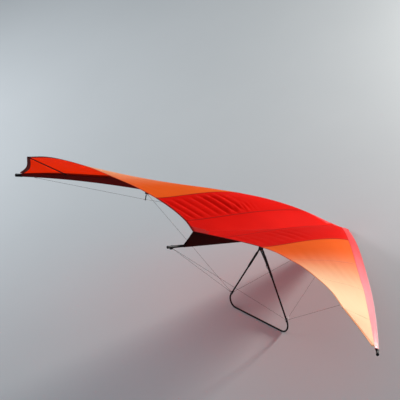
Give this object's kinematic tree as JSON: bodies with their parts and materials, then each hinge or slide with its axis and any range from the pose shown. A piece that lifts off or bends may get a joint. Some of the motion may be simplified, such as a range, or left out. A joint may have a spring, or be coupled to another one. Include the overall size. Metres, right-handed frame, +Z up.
{
  "type": "hang glider",
  "caption": "Flexible-wing hang glider with a tubular frame, control bar, wire bracing and a billowed two-lobe sail, parked on its nose and base bar.",
  "frame": {"origin": "middle of the bounding box, on the ground, with the glider parked on its nose cap and base bar", "axes": "+X points forward to the nose, +Y to the left tip, +Z up"},
  "size_m": [3.3698, 8.7822, 2.967],
  "materials": {
    "black_tube": "black anodised tube, satin",
    "plate": "brushed plate, satin",
    "wire": "stranded wire",
    "rubber": "matte",
    "batten": "cloth pocket over a stiff batten",
    "red_sail": "woven sailcloth with a light sheen",
    "orange_sail": "woven sailcloth with a light sheen",
    "maroon_cloth": "woven sailcloth, dark",
    "webbing": "flat woven webbing"
  },
  "bodies": {
    "frame": {"keel_tube": "black_tube", "tail_cap": "rubber", "nose_cap": "rubber", "nose_plate_upper": "plate", "nose_plate_lower": "plate", "leading_edge_tube_left": "black_tube", "leading_edge_tube_right": "black_tube", "tip_cap_left": "rubber", "tip_cap_right": "rubber", "crossbar_centre_bracket": "plate", "leading_edge_bracket_left": "plate", "leading_edge_bracket_right": "plate", "crossbar_left": "black_tube", "crossbar_right": "black_tube", "control_bar_bracket": "plate", "hang_pin": "plate", "upright_left": "black_tube", "upright_right": "black_tube", "wire_fitting_left": "plate", "wire_fitting_right": "plate", "upright_grip_left": "rubber", "upright_grip_right": "rubber", "corner_bend_left": "black_tube", "corner_bend_right": "black_tube", "base_bar": "black_tube", "tail_tang": "plate", "front_wire_left": "wire", "front_wire_right": "wire", "rear_wire_left": "wire", "rear_wire_right": "wire", "side_wire_left": "wire", "side_wire_right": "wire", "deflexor_post_left": "black_tube", "deflexor_post_right": "black_tube", "deflexor_wire_outer_left": "wire", "deflexor_wire_outer_right": "wire", "deflexor_wire_inner_left": "wire", "deflexor_wire_inner_right": "wire", "sail_inner_left": "red_sail", "sail_inner_right": "red_sail", "sail_outer_left": "orange_sail", "sail_outer_right": "orange_sail", "tip_batten_left": "batten", "tip_batten_right": "batten", "sail_tip_left": "orange_sail", "sail_tip_right": "orange_sail", "leading_edge_pocket_left": "red_sail", "leading_edge_pocket_right": "red_sail", "keel_pocket": "maroon_cloth"},
    "strap": {"hang_strap": "webbing"},
    "carabiner": {"carabiner": "plate"}
  },
  "joints": [
    {"name": "strap_swing", "type": "hinge", "parent": "frame", "child": "strap", "pos_m": [-0.11323, 0, 1.16772], "axis": [0, 1, 0], "range_deg": [-50, 110]},
    {"name": "carabiner_swing", "type": "hinge", "parent": "strap", "child": "carabiner", "pos_m": [-0.11323, 0, 0.78772], "axis": [0, 1, 0], "range_deg": [-120, 120]}
  ]
}
